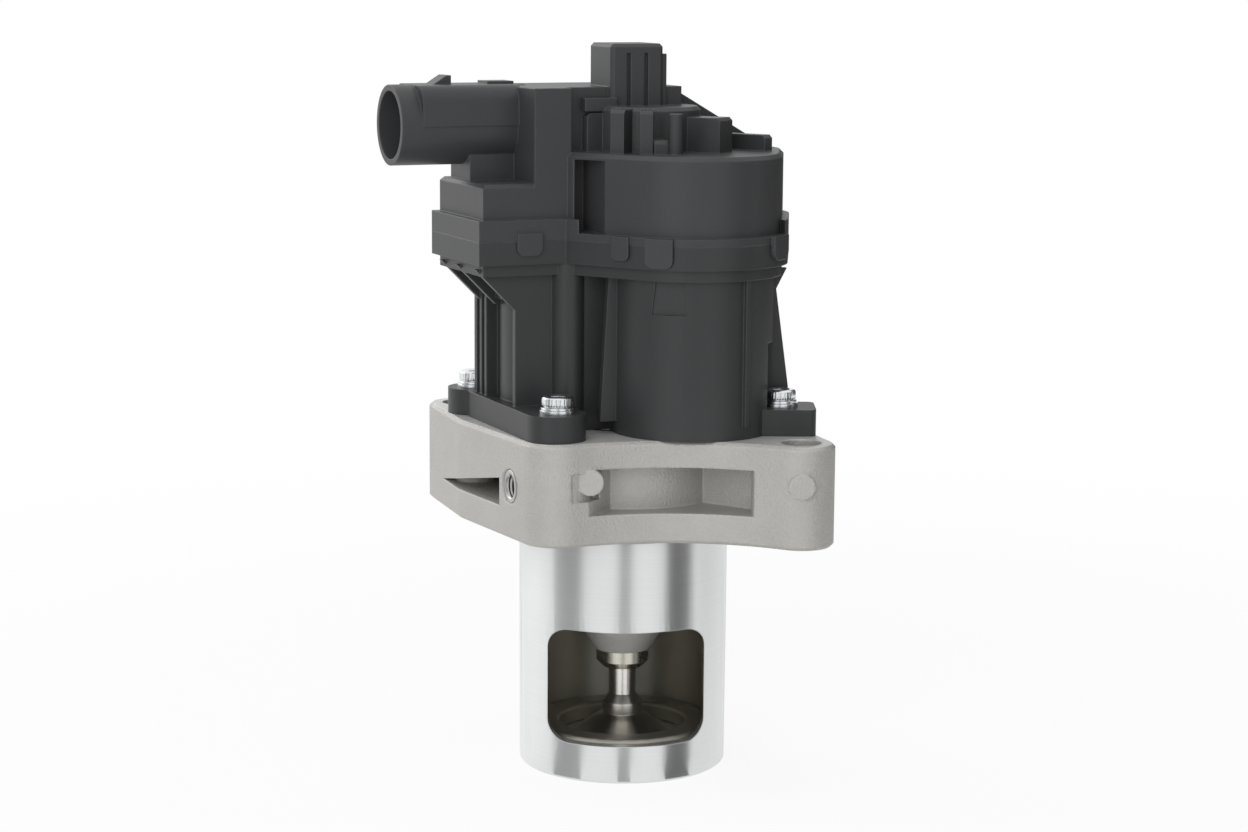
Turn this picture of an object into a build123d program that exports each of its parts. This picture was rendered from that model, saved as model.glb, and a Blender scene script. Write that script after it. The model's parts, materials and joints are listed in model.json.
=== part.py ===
from build123d import *
import os
from math import acos, atan2, ceil, copysign, cos, degrees, hypot, pi, radians, sin, sqrt, tan

# An electrically driven exhaust gas recirculation valve. A motor in the black housing turns a
# two-stage gear train, the last gear carries a drum with helical slots, and the drum pushes the
# valve's stem down through the aluminium flange, so that the disc leaves its seat in the sleeve.
# Millimetres. The origin is on the stem's axis in the flange's lower face, +Z points away from
# the engine, and the plug socket looks along -X.

# Sleeve that goes into the engine
sleeve_radius = 23.0
sleeve_wall = 3.0
sleeve_reach = 54.0
sleeve_socket = 4.0
sleeve_neck = 0.6
sleeve_relief = 0.6
sleeve_mouth = 0.2
sleeve_break = 0.6
band_length = 18.0
sleeve_taper = 0.15
window_width = 34.0
window_height = 25.1
window_foot = 8.4
window_corner = 4.5
window_turn = -110.4

# Seat, disc and stem
seat_low = 3.0
seat_height = 6.0
seat_wall = 6.0
seat_cone = 2.3
disc_overlap = 2.0
disc_rim = 1.2
seat_clearance = 0.1
stem_radius = 3.0
rod_radius = 2.5
collar_radius = 4.4
collar_height = 2.4
valve_stroke = 7.0
running_clearance = 0.05
fit_clearance = 0.02
bush_wall = 1.6

# Nose of the flange, and the cup under it
nose_root_radius = 13.0
nose_root_depth = 14.0
nose_flare = 3.0
nose_tip_radius = 6.1
nose_shoulder_radius = 8.85
nose_shoulder_depth = 24.6
nose_length = 29.0
cup_radius = 5.85
cup_height = 4.0

# Aluminium flange
flange_height = 22.0
ear_place = (24.0, -38.9)
ear_radius = 7.2
ear_solid_radius = 10.4
bolt_hole_radius = 4.25
corner_radius = 8.0
front_hollow_radius = 44.0
side_bulge_radius = 9.0
side_bulge_place = (24.3, -15.0)
lower_plate = 6.5
upper_plate = 5.6
core_radius = 21.8
rib_width = 2.4
flange_break = 0.7
boss_wall = 2.2
corner_wall = 0.7
side_pocket_rise = 8.0
pocket_step = 1.8
port_radius = 2.6
port_chamfer = 1.2
port_depth = 9.0
port_height = 11.5
port_offset = -10.8
port_face = 31.0
port_wall = 1.2
panel_depth = 0.5
panel_low = 9.6
panel_high = 15.8
panel_side = 4.2
pad_radius = 2.8
pad_height = 13.8
pad_proud = 0.5
pad_place = (-18.2, -24.6)
view_angle = -114.0

# Screws: the housing's foot stands on the flange
foot_height = 5.7
foot_left = 29.5
lug_radius = 6.0
screw_radius = 2.1
screw_head_radius = 3.4
screw_head_height = 2.9
screw_socket_radius = 1.5
screw_depth = 11.0
screw_ring_radius = 3.7
screw_ring_height = 0.6
washer_radius = 3.9
washer_thickness = 0.8
screw_places = [(-22.6, -16.9), (25.8, -24.8), (22.6, 16.9), (-25.8, 24.8)]

# Spring on the stem
spring_radius = 6.6
spring_wire = 0.8
spring_turns = 4.5
chamber_radius = 9.5
chamber_floor = 3.0
gasket_radius = 12.0
gasket_width = 1.6
gasket_depth = 1.2
plate_thickness = 1.2
plate_drop = 2.6

# Motor
motor_place = (9.5, -14.5)
motor_radius = 13.0
motor_length = 32.0
motor_lift = 2.0
motor_gap = 0.3
motor_shaft_radius = 1.0
can_wall = 0.9
magnet_thickness = 2.4
armature_radius = 8.6
armature_foot = 6.0
armature_head = 8.0
magnet_foot = 4.0
magnet_head = 5.0
armature_hub = 3.6
armature_slots = 5
armature_slot = 1.8
magnet_gap = 4.0
barrel_radius = 17.5
motor_plate_thickness = 1.5
motor_boss_radius = 3.4

# Gear train
pressure_angle = 25.0
backlash = 0.16
addendum = 0.9
dedendum = 1.25
fine_module = 0.6
coarse_module = 0.8
motor_teeth = 10
wheel_teeth = 38
pinion_teeth = 12
output_teeth = 38
fine_face = 4.5
coarse_face = 5.5
gear_gap = 0.8
axle_radius = 1.5
valve_turn = 100.0

# Drum that turns rotation into stroke
drum_radius = 6.2
drum_bore = 4.2
journal_radius = 4.5
pin_lift = 6.4
cross_pin_radius = 1.2
roller_radius = 1.8
crosshead_radius = 3.9
crosshead_height = 5.0
cage_inner = 6.7
cage_outer = 8.8
cage_foot = 2.4
cage_head = 3.6
top_bearing_height = 2.4
magnet_height = 2.4

# Housing and cover
floor_thickness = 3.0
rim_height = 4.5
rim_proud = 1.4
seal_height = 0.8
case_wall = 2.2
crown_cap = 3.5
crown_rise = 9.5
roof_rise = 4.0
roof_fall = 12.2
roof_flat = 11.1
roof_slope = 21.3
slope_front = 3.0
left_block_rise = 12.0
shoulder_break = 0.9
wall_break = 0.8
crown_place = (3.0, -4.5)
crown_radius = 11.5
tower_rise = 13.2
tower_width = 12.2
tower_wall = 1.9
motor_round = 19.0
wheel_round = 14.8
output_round = 18.7
block_left = 36.0
block_front = 8.0
block_back = 19.0
column_left = 24.4
column_right = 16.0
body_left = 28.0
body_front = 6.0
body_right = 20.0
post_radius = 3.6
post_proud = 2.0
recess_depth = 2.6
recess_wall = 1.5
recess_bulge = 12.0
recess_top = 50.0
rim_drop = 0.5
lug_length = 13.0
lug_corner = 1.6
lug_turn = -23.4
band_height = 1.6
corner_start = 25.0
notch_right = 11.8
notch_wall = 1.4
field_angle = -130.5
field_low = 48.8
field_high = 57.4
field_foot = 3.9
field_head = 2.9
field_depth = 0.8
tower_break = 0.7
tower_step = 1.1
tower_foot = 6.4
tower_foot_rise = 1.8
groove_width = 0.9
notch_depth = 3.6
tab_proud = 0.7
tongue_place = 26.1

# Crown: angle, width, reach from the round's axis, and how far the top lies under the crown's
crown_ribs = [(-176.6, 3.0, 15.1, 1.4), (-137.6, 3.2, 15.7, 0.3), (-114.2, 2.8, 16.1, 0.4),
              (-103.1, 3.0, 16.3, 6.6), (-49.8, 6.4, 18.7, 2.1)]
rib_break = 0.7
wheel_ribs = [(-60.0, 2.8, 13.8, 6.1), (10.0, 2.6, 13.8, 7.5)]
post_angle = -92.7
post_reach = 16.8
post_size = 1.45

# Plug socket
socket_radius = 8.6
socket_wall = 1.3
socket_axis_y = 10.0
socket_drop = 8.2
socket_mouth = 50.5
socket_depth = 20.0
blade_width = 0.8
blade_thickness = 0.8
blade_bend = 3.0
blade_foot = 2.0
blade_reach = 12.0
blade_pitch = 2.3
blade_count = 5
collar_length = 4.5
cheek_proud = 0.4
cheek_corner = 3.6
ramp_start = -41.5
ramp_height = 1.9
ramp_width = 5.0
latch_length = 5.0
latch_rise = 0.6

# What follows from the sizes above
over_cut = 1.0
upwards = (Align.CENTER, Align.CENTER, Align.MIN)
sleeve_inner = sleeve_radius - sleeve_wall
sleeve_foot = -sleeve_reach
seat_foot = sleeve_foot + seat_low
seat_bore_radius = sleeve_inner - seat_wall
disc_radius = seat_bore_radius + disc_overlap
seat_top = seat_foot + seat_height
window_low = sleeve_foot + window_foot
window_high = window_low + window_height
screw_seat = flange_height + foot_height
head_low = screw_seat + washer_thickness
motor_low = flange_height + motor_lift
floor_low = motor_low + motor_length
floor_height = floor_low + floor_thickness
parting_height = floor_height + rim_height
fine_low = floor_height + 0.8
fine_high = fine_low + fine_face
coarse_low = fine_high + gear_gap
coarse_high = coarse_low + coarse_face
motor_pitch = fine_module * motor_teeth / 2
wheel_pitch = fine_module * wheel_teeth / 2
pinion_pitch = coarse_module * pinion_teeth / 2
output_pitch = coarse_module * output_teeth / 2
journal_low = floor_height + 0.4
pin_height = coarse_high + pin_lift + valve_stroke
cage_low = coarse_high + cage_foot
cage_high = pin_height + cage_head
drum_high = cage_high + 0.4
stub_high = drum_high + top_bearing_height + 0.4
crown_height = drum_high + crown_cap
shoulder_height = crown_height - crown_rise
roof_height = crown_height + roof_rise
roof_low = roof_height - roof_fall
tower_height = crown_height + tower_rise
left_block_height = parting_height + left_block_rise
socket_axis_z = roof_height - socket_drop
socket_axis_x = -socket_mouth
ear_angle = degrees(atan2(ear_place[1], ear_place[0]))
pocket_high = flange_height - upper_plate
plug_floor = -socket_mouth + socket_depth
plate_top = floor_low + motor_plate_thickness
axle_low = plate_top + 0.4
plate_high = flange_height - plate_drop
plate_low = plate_high - plate_thickness
output_pitch_angle = 360 / output_teeth
teeth_used = ceil(valve_turn / output_pitch_angle)
rounds_lean = acos((output_round - motor_round) / hypot(*motor_place))
motor_side = degrees(atan2(motor_place[1], motor_place[0]) - rounds_lean)
blade_places = [socket_axis_y + blade_pitch * (place - (blade_count - 1) / 2) for place in range(blade_count)]


def third_corner(far, near, to_far, to_near):
    """The third corner of a triangle, left of the line from far to near, from its two distances."""
    dx, dy = near[0] - far[0], near[1] - far[1]
    span = hypot(dx, dy)
    along = (to_far ** 2 - to_near ** 2 + span ** 2) / (2 * span)
    across = sqrt(to_far ** 2 - along ** 2)
    return (far[0] + (dx * along - dy * across) / span, far[1] + (dy * along + dx * across) / span)


wheel_place = third_corner((0, 0), motor_place, output_pitch + pinion_pitch, wheel_pitch + motor_pitch)
wheel_angle = degrees(atan2(wheel_place[1], wheel_place[0]))
motor_angle = degrees(atan2(motor_place[1] - wheel_place[1], motor_place[0] - wheel_place[0]))


def opposite(place):
    """The same place on the other side of the stem's axis."""
    return (-place[0], -place[1])


def around(place, reach, angle):
    """The point at a distance from a place in plan, in the direction of an angle."""
    return (place[0] + reach * cos(radians(angle)), place[1] + reach * sin(radians(angle)))


def rod(radius, low, high, at=(0, 0)):
    """An upright round bar between two heights."""
    return Pos(at[0], at[1], low) * Cylinder(radius, high - low, align=upwards)


def tube(outer, inner, low, high, at=(0, 0)):
    """An upright tube between two heights."""
    return rod(outer, low, high, at) - rod(inner, low - over_cut, high + over_cut, at)


def block(left, right, front, back, low, high):
    """A box between three pairs of planes."""
    centre = Pos((left + right) / 2, (front + back) / 2, (low + high) / 2)
    return centre * Box(right - left, back - front, high - low)


def slab(outline, low, high):
    """A plan outline given height."""
    return Pos(0, 0, low) * extrude(outline, high - low)


def disc(place, radius):
    """A round outline about a place in plan."""
    return Pos(place[0], place[1]) * Circle(radius)


def hull_of(*circles):
    """The taut outline round circles, each given as a place and a radius."""
    return make_hull([edge for place, radius in circles for edge in disc(place, radius).edges()])


def lathe(*points):
    """A solid turned about Z from the straight-sided profile through radius and height points."""
    return revolve(Plane.XZ * make_face(Polyline(*points, close=True)), Axis.Z)


def wedge(place, angle, thickness, *points):
    """An upright web from a place in plan, in the direction of an angle, through (reach, height) points."""
    web = extrude(Plane.XZ * make_face(Polyline(*points, close=True)), thickness / 2, both=True)
    return Pos(place[0], place[1], 0) * Rot(0, 0, angle) * web


def gear(module, teeth, low, high, place, tooth_at, bore):
    """A spur gear with involute flanks. One tooth's middle points along the angle tooth_at."""
    pitch = module * teeth / 2
    base = pitch * cos(radians(pressure_angle))
    tip = pitch + addendum * module
    root = pitch - dedendum * module
    half_tooth = pi / (2 * teeth) - backlash / (4 * pitch)
    involute = tan(radians(pressure_angle)) - radians(pressure_angle)

    def flank(radius):
        angle = acos(min(1.0, base / radius))
        return half_tooth + involute - (tan(angle) - angle)

    outline = []
    for tooth in range(teeth):
        middle = radians(tooth_at) + 2 * pi * tooth / teeth
        radii = [root, pitch, tip] if root > base else [root, base, pitch, tip]
        for radius in radii:
            outline.append((radius * cos(middle - flank(radius)), radius * sin(middle - flank(radius))))
        for radius in reversed(radii):
            outline.append((radius * cos(middle + flank(radius)), radius * sin(middle + flank(radius))))
    blank = slab(make_face(Polyline(*outline, close=True)), low, high)
    return Pos(place[0], place[1], 0) * (blank - rod(bore, low - over_cut, high + over_cut))


def flange_outline(grow=0.0):
    """Two ears, two corners, hollow sides between an ear and a corner, and bulging sides."""
    outline = None
    for ear, corner, bulge in [(ear_place, screw_places[0], side_bulge_place),
                               (opposite(ear_place), screw_places[2], opposite(side_bulge_place))]:
        hollow = third_corner(corner, ear, front_hollow_radius + corner_radius,
                              front_hollow_radius + ear_radius)
        if hypot(*hollow) < front_hollow_radius:
            hollow = third_corner(ear, corner, front_hollow_radius + ear_radius,
                                  front_hollow_radius + corner_radius)
        side = hull_of((ear, ear_radius + grow), (bulge, side_bulge_radius + grow),
                       (opposite(corner), corner_radius + grow))
        corner_fill = make_face(Polyline(opposite(corner), corner, hollow, ear, close=True))
        piece = side + corner_fill - disc(hollow, front_hollow_radius - grow)
        outline = piece if outline is None else outline + piece
    return outline


def flange_casting():
    """The flange: outline, side pockets between two plates, ears, bosses, nose and bores."""
    body = slab(flange_outline(), 0, flange_height)
    levels = body.edges().group_by(Axis.Z)
    body = chamfer(levels[0] + levels[-1], flange_break)
    kept = Circle(core_radius) + Rot(0, 0, ear_angle) * Rectangle(2 * hypot(*ear_place), rib_width)
    for place in (ear_place, opposite(ear_place)):
        kept += disc(place, ear_solid_radius)
    for place in (screw_places[0], screw_places[2]):
        inward = (place[0] / 2, place[1] / 2)
        toward_port = (place[0], place[1] - copysign(corner_radius / 2, place[1]))
        kept += hull_of((place, corner_radius + corner_wall), (inward, corner_radius),
                        (toward_port, corner_radius))
        side = (copysign(port_face / 2, place[0]), copysign(port_offset, place[1]))
        kept += Pos(*side) * Rectangle(port_face + 2 * over_cut, 2 * (port_radius + port_chamfer + port_wall))
    for place in (screw_places[1], screw_places[3]):
        kept += disc(place, screw_radius + boss_wall)
    middle = Rectangle(2 * (core_radius - pocket_step), 4 * core_radius)
    pockets = flange_outline(over_cut) - kept
    body -= slab(pockets & middle, lower_plate, pocket_high)
    body -= slab(pockets - middle, lower_plate, pocket_high) & (side_core(True) + side_core(False))
    nose = lathe((0, over_cut), (nose_root_radius + nose_flare, over_cut), (nose_root_radius, -nose_flare),
                 (nose_root_radius, -nose_root_depth), (nose_shoulder_radius, -nose_shoulder_depth),
                 (nose_tip_radius, -nose_length), (0, -nose_length))
    neck = sleeve_radius - sleeve_neck + fit_clearance
    mouth = sleeve_radius + sleeve_mouth
    body -= rod(neck, -over_cut, sleeve_socket)
    body -= lathe((0, -over_cut), (mouth, -over_cut), (mouth, 0), (neck, mouth - neck), (0, mouth - neck))
    body += rod(nose_root_radius + nose_flare, 0, lower_plate) + nose
    body -= rod(chamber_radius, chamber_floor, flange_height + over_cut)
    body -= rod(stem_radius + bush_wall + 2 * running_clearance, -nose_length - over_cut, chamber_floor)
    corner = screw_places[0]
    band = disc(corner, corner_radius + over_cut) - disc(corner, corner_radius - panel_depth)
    front = Pos(corner[0] + panel_side, corner[1] - corner_radius) * Rectangle(2 * panel_side, corner_radius)
    body -= slab(band & front, panel_low, panel_high)
    for place, reach in ((pad_place, pad_proud), (ear_place, ear_radius + pad_proud)):
        body += ejector_pad(place, reach)
    for place in (ear_place, opposite(ear_place)):
        body -= rod(bolt_hole_radius, -over_cut, flange_height + over_cut, place)
    for place in screw_places:
        low = flange_height - screw_depth
        body -= rod(screw_radius + fit_clearance, low, flange_height + over_cut, place)
    drill = Cylinder(port_radius, port_depth, align=upwards)
    drill += Cone(port_radius + port_chamfer, port_radius, port_chamfer, align=upwards)
    drill += Cylinder(port_radius + port_chamfer, over_cut, align=(Align.CENTER, Align.CENTER, Align.MAX))
    body -= Pos(-port_face, port_offset, port_height) * Rot(0, 90, 0) * drill
    groove = rod(gasket_radius + gasket_width, flange_height - gasket_depth, flange_height + over_cut)
    return body - (groove - rod(gasket_radius, 0, flange_height + over_cut))


def side_core(left):
    """A long side's core: its roof rises from the ear to the corner. The right one is the left one turned."""
    start = -ear_place[1] - ear_solid_radius
    end = screw_places[0][1]
    reach = hypot(*ear_place)
    high = lower_plate + side_pocket_rise
    outline = Polyline((start, lower_plate), (end, high), (end, lower_plate), close=True)
    wedge_core = extrude(Plane.YZ * make_face(outline), -reach)
    return wedge_core if left else Rot(0, 0, 180) * wedge_core


def ejector_pad(place, reach):
    """Round mark of the mould, level with or a little proud of the face that looks to the front."""
    pin = Rot(0, 90, 0) * Cylinder(pad_radius, ear_radius, align=(Align.CENTER, Align.CENTER, Align.MAX))
    return Pos(place[0], place[1], pad_height) * Rot(0, 0, view_angle) * Pos(reach, 0, 0) * pin


def housing_gasket():
    """Ring in a groove of the flange's top face, under the housing."""
    return tube(gasket_radius + gasket_width - fit_clearance, gasket_radius + fit_clearance,
                flange_height - gasket_depth, flange_height)


def valve_sleeve():
    """Steel tube with one window, whose neck stands in the flange. It narrows a little towards its foot."""
    body = tube(sleeve_radius, sleeve_inner, -band_length, -sleeve_relief)
    body += tube(sleeve_radius - sleeve_neck, sleeve_inner, -sleeve_relief, sleeve_socket)
    body += lathe((sleeve_inner, sleeve_foot), (sleeve_radius - sleeve_taper, sleeve_foot),
                  (sleeve_radius, -band_length), (sleeve_inner, -band_length))
    body = chamfer(body.edges().group_by(Axis.Z)[0].sort_by(SortBy.RADIUS)[-1], sleeve_break)
    opening = Rectangle(window_width, window_height)
    opening = fillet(opening.vertices(), window_corner)
    cut = extrude(Plane.XZ * opening, 2 * sleeve_radius)
    cut = Pos(0, 0, (window_low + window_high) / 2) * cut
    return body - Rot(0, 0, window_turn + 90) * cut


def valve_seat():
    """Ring in the sleeve's foot with the cone that the disc closes on."""
    outer = sleeve_inner - fit_clearance
    mouth = seat_bore_radius + seat_cone
    return lathe((seat_bore_radius, seat_foot + seat_cone), (mouth, seat_foot), (outer, seat_foot),
                 (outer, seat_top - 1.0), (outer - 1.0, seat_top), (seat_bore_radius + 0.6, seat_top),
                 (seat_bore_radius, seat_top - 0.6))


def poppet_valve():
    """Disc, collar, stem and the thinner rod above it, in one forging."""
    cone_high = seat_foot + seat_cone - seat_clearance
    cone_low = cone_high - (disc_radius - seat_bore_radius)
    low = cone_low - disc_rim
    return lathe((0, low), (disc_radius - 0.4, low), (disc_radius, low + 0.4), (disc_radius, cone_low),
                 (seat_bore_radius, cone_high), (seat_bore_radius - 2.4, cone_high + 0.5),
                 (collar_radius + 1.6, seat_top + 0.4), (collar_radius, seat_top + 1.4),
                 (collar_radius, seat_top + 1.4 + collar_height),
                 (stem_radius, seat_top + 3.4 + collar_height),
                 (stem_radius, chamber_floor + 1.0), (rod_radius, chamber_floor + 1.5),
                 (rod_radius, pin_height + crosshead_height / 2), (0, pin_height + crosshead_height / 2))


def stem_bush():
    """Plain bearing of the stem in the nose."""
    return tube(stem_radius + bush_wall + running_clearance, stem_radius + running_clearance,
                -nose_length + 0.5, chamber_floor - 2.2)


def deposit_cup():
    """Cup under the nose that keeps soot off the bush."""
    low, high = -nose_length - cup_height, -nose_length
    return lathe((stem_radius + running_clearance, low), (cup_radius - 1.4, low), (cup_radius, low + 1.4),
                 (cup_radius, high), (stem_radius + running_clearance, high))


def stem_seal():
    """Lip ring on top of the bush."""
    outer, inner = stem_radius + bush_wall, stem_radius + running_clearance
    return tube(outer, inner, chamber_floor - 2.2, chamber_floor - 0.2)


def return_spring():
    """Coil that pulls the disc onto its seat by pushing the plate up."""
    height = plate_low - chamber_floor - 2 * spring_wire
    path = Helix(pitch=height / spring_turns, height=height, radius=spring_radius)
    wire = Plane(origin=path @ 0, z_dir=path % 0) * RegularPolygon(spring_wire, 6)
    return Pos(0, 0, chamber_floor + spring_wire) * sweep(wire, path=path, is_frenet=True)


def spring_plate():
    """Dished washer between the spring and the stem's clip."""
    bore = rod_radius + fit_clearance
    reach = spring_radius + spring_wire + 0.6
    return lathe((bore, plate_low), (reach, plate_low), (reach, plate_high), (bore, plate_high))


def stem_clip():
    """Open ring above the plate in a groove of the rod."""
    ring = tube(rod_radius + 1.5, rod_radius + fit_clearance, plate_high, plate_high + 1.2)
    return ring - block(0, rod_radius + 3, -1, 1, plate_high - over_cut, plate_high + 2 * over_cut)


def case_outline(grow):
    """Plan of the gear case: rounds about the motor, wheel and output axes, and the left block."""
    rounds = hull_of((motor_place, motor_round + grow), (wheel_place, wheel_round + grow),
                     ((0, 0), output_round + grow))
    left = Rectangle(block_left + grow, block_front + block_back + 2 * grow)
    centre = Pos(-(block_left + grow) / 2, (block_back - block_front) / 2)
    return rounds + centre * left


def body_outline():
    """Plan of the housing under the gear case: a box, a rounded post and the motor's barrel."""
    wide, deep = body_left + body_right, body_front + block_back
    main = Pos((body_right - body_left) / 2, (block_back - body_front) / 2) * Rectangle(wide, deep)
    step = Pos(-column_right / 2, -body_front) * Rectangle(column_right, 2 * post_proud)
    return main + step + disc((-column_right, -body_front), post_radius) + disc(motor_place, barrel_radius)


def left_recess(low, high):
    """Open field in the housing's left side, with a bulging back and upright ribs."""
    field = Pos(-body_left, (block_back - body_front) / 2) * Rectangle(
        2 * recess_depth, block_back + body_front - 2 * recess_wall)
    bulge = disc((recess_bulge - body_left + recess_depth / 2, (block_back - body_front) / 3), recess_bulge)
    cut = slab(field - bulge, low, high)
    for y in (block_back - 3 * recess_wall, block_back - 5 * recess_wall):
        cut -= block(-body_left - 2, -body_left + recess_depth, y, y + recess_wall * 0.8, low - 1, high + 1)
    return cut


def lower_housing():
    """Foot, body with the motor's barrel, floor of the gear case and its rim."""
    foot = disc(motor_place, barrel_radius)
    left = -foot_left + lug_radius
    foot += hull_of(((left, screw_places[0][1]), lug_radius), (screw_places[0], lug_radius),
                    ((left, block_back - 1), lug_radius), ((screw_places[0][0], block_back), lug_radius))
    foot += hull_of((screw_places[3], lug_radius), ((0, 8), lug_radius))
    foot += hull_of((screw_places[2], lug_radius), ((8, 8), lug_radius), ((-16, 8), lug_radius))
    body = slab(foot, flange_height, screw_seat)
    body += slab(body_outline(), flange_height, floor_height)
    lug = Rectangle(lug_length, 2 * lug_radius)
    lug = fillet(lug.vertices(), lug_corner)
    lug = Rot(0, 0, lug_turn) * Pos(lug_corner - lug_length / 2 + lug_radius, 0) * lug
    body += slab(Pos(*screw_places[1]) * lug, flange_height, screw_seat)
    body -= left_recess(screw_seat, recess_top)
    rim = slab(case_outline(rim_proud), floor_height - rim_drop, parting_height)
    body += rim + slab(case_outline(0), floor_low, floor_height)
    for y in (-body_front + recess_wall / 2, block_back / 3, block_back - 2 * recess_wall):
        low, high = recess_top - recess_wall, floor_low + recess_wall
        reach = block_left - body_left + recess_depth + 1
        body += wedge((-body_left + recess_depth, y), 180, recess_wall,
                      (0, low), (recess_depth, low), (reach, high), (0, high))
    body += wedge(motor_place, -15, 1.6, (0, screw_seat - 1), (barrel_radius + 4.3, screw_seat - 1),
                  (barrel_radius + 0.3, floor_low), (0, floor_low))
    body += wedge(motor_place, -15, 1.6, (0, floor_low - 5), (barrel_radius, floor_low - 5),
                  (barrel_radius + 3, floor_low + 1), (0, floor_low + 1))
    body += wedge(motor_place, -74, 1.3, (0, screw_seat - 3), (barrel_radius + 0.9, screw_seat - 3),
                  (barrel_radius + 0.9, floor_low), (0, floor_low))
    body += wedge(motor_place, 176, 2.0, (0, screw_seat - 3), (barrel_radius + 3.6, screw_seat - 3),
                  (barrel_radius + 1.8, floor_low), (0, floor_low))
    corners = [(-field_foot, field_low), (field_foot, field_low),
               (field_head, field_high), (-field_head, field_high)]
    field = extrude(Plane.YZ * make_face(Polyline(*corners, close=True)), 2 * field_depth)
    body -= Pos(*motor_place, 0) * Rot(0, 0, field_angle) * Pos(barrel_radius - field_depth, 0, 0) * field
    body -= slab(case_outline(-case_wall), floor_height, parting_height + over_cut)
    body += rod(journal_radius + 3.1, floor_low, fine_high + 0.3)
    body += rod(axle_radius + 1.6, floor_low, fine_low - 0.3, wheel_place)
    body -= rod(journal_radius + 1.8 + fit_clearance, floor_height, fine_high + 2, (0, 0))
    body -= rod(rod_radius + 0.4, flange_height - over_cut, floor_height + over_cut)
    body -= rod(motor_radius + motor_gap, flange_height - over_cut, plate_top + 0.1, motor_place)
    body -= rod(motor_boss_radius + motor_gap, floor_low, floor_height + over_cut, motor_place)
    body -= rod(axle_radius, axle_low, fine_high, wheel_place)
    body -= rod(chamber_radius, flange_height - over_cut, flange_height + 3)
    body -= seal_ring(parting_height - seal_height)
    for place in screw_places:
        body -= rod(screw_radius + 0.2, flange_height - over_cut, screw_seat + over_cut, place)
        body -= rod(washer_radius + 0.8, screw_seat, screw_seat + 14, place)
    return body


def housing_screws():
    """Four socket-head screws with a ring under the head."""
    one = rod(screw_radius, flange_height - screw_depth + 1, head_low)
    one += rod(screw_ring_radius, head_low, head_low + screw_ring_height)
    one += rod(screw_head_radius, head_low, head_low + screw_head_height)
    one = chamfer(one.edges().sort_by(Axis.Z)[-1], 0.5)
    one -= Pos(0, 0, head_low + 1.0) * extrude(RegularPolygon(screw_socket_radius, 6), screw_head_height)
    return Compound([Pos(x, y, 0) * one for x, y in screw_places])


def screw_washers():
    """A washer under each screw's head."""
    one = tube(washer_radius, screw_radius + fit_clearance, screw_seat, head_low)
    return Compound([Pos(x, y, 0) * one for x, y in screw_places])


def motor_can():
    """Drawn steel cup of the motor."""
    can = rod(motor_radius, motor_low, floor_low, motor_place)
    return can - rod(motor_radius - can_wall, motor_low + can_wall, floor_low + over_cut, motor_place)


def motor_magnets():
    """Two curved magnets on the can's wall."""
    outer = motor_radius - can_wall - fit_clearance
    ring = tube(outer, outer - magnet_thickness, motor_low + magnet_foot, floor_low - magnet_head)
    gap = block(-magnet_gap / 2, magnet_gap / 2, -motor_radius, motor_radius, motor_low, floor_low)
    both = Rot(0, 0, motor_angle) * (ring - gap)
    return Compound([Pos(motor_place[0], motor_place[1], 0) * half for half in both.solids()])


def motor_armature():
    """Slotted iron core on the motor's shaft."""
    low, high = motor_low + armature_foot, floor_low - armature_head
    core = tube(armature_radius, motor_shaft_radius, low, high)
    half = armature_slot / 2
    cut = block(armature_hub, armature_radius + over_cut, -half, half, low - over_cut, high + over_cut)
    for slot in range(armature_slots):
        core -= Rot(0, 0, slot * 360 / armature_slots) * cut
    return Pos(motor_place[0], motor_place[1], 0) * core


def motor_plate():
    """End plate that closes the can and carries the shaft's upper bearing."""
    plate = rod(motor_radius, floor_low, plate_top, motor_place)
    plate += rod(motor_boss_radius, floor_low - 2.0, floor_height - 0.4, motor_place)
    return plate - rod(motor_shaft_radius + running_clearance, floor_low - 4, floor_low + 4, motor_place)


def motor_spring():
    """Wave washer that holds the motor up against the floor of the gear case."""
    return tube(motor_radius - 2, motor_radius - 5, flange_height, motor_low, motor_place)


def motor_shaft():
    """Shaft of the motor."""
    return rod(motor_shaft_radius, motor_low + can_wall + 0.1, fine_high, motor_place)


def motor_pinion():
    """Small gear on the motor's shaft, with a gap towards the wheel."""
    facing = motor_angle + 180
    return gear(fine_module, motor_teeth, fine_low, fine_high - 0.2, motor_place,
                facing + 180 / motor_teeth, motor_shaft_radius)


def intermediate_gear():
    """Large fine wheel and small coarse pinion in one moulding, turning on the axle."""
    bore = axle_radius + running_clearance
    wheel = gear(fine_module, wheel_teeth, fine_low, fine_high, wheel_place, motor_angle, bore)
    hollow = tube(wheel_pitch - 2.4, pinion_pitch + 1.2, fine_high - 1.4, fine_high + over_cut, wheel_place)
    pinion = gear(coarse_module, pinion_teeth, fine_high - 0.1, coarse_high + 0.3, wheel_place,
                  wheel_angle + 180 + 180 / pinion_teeth, bore)
    return wheel - hollow + pinion


def intermediate_axle():
    """Steel pin of the intermediate gear, held in the floor."""
    return rod(axle_radius, axle_low, coarse_high + 1.4, wheel_place)


def output_gear():
    """Last gear of the train, on the drum: a hub and the toothed sector that the valve's turn uses."""
    toothed = gear(coarse_module, output_teeth, coarse_low, coarse_high, (0, 0), wheel_angle, drum_radius)
    first = wheel_angle - (teeth_used + 0.5) * output_pitch_angle
    last = wheel_angle + 1.5 * output_pitch_angle
    far = 2 * output_pitch
    sides = [around((0, 0), far, angle) for angle in (first, (first + last) / 2, last)]
    sector = slab(make_face(Polyline((0, 0), *sides, close=True)), coarse_low, coarse_high)
    hub = rod(drum_radius + 2, coarse_low, coarse_high)
    hollow = tube(output_pitch - 2.8, drum_radius + 2, coarse_high - 1.6, coarse_high + over_cut)
    return (toothed & (sector + hub)) - hollow


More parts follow.
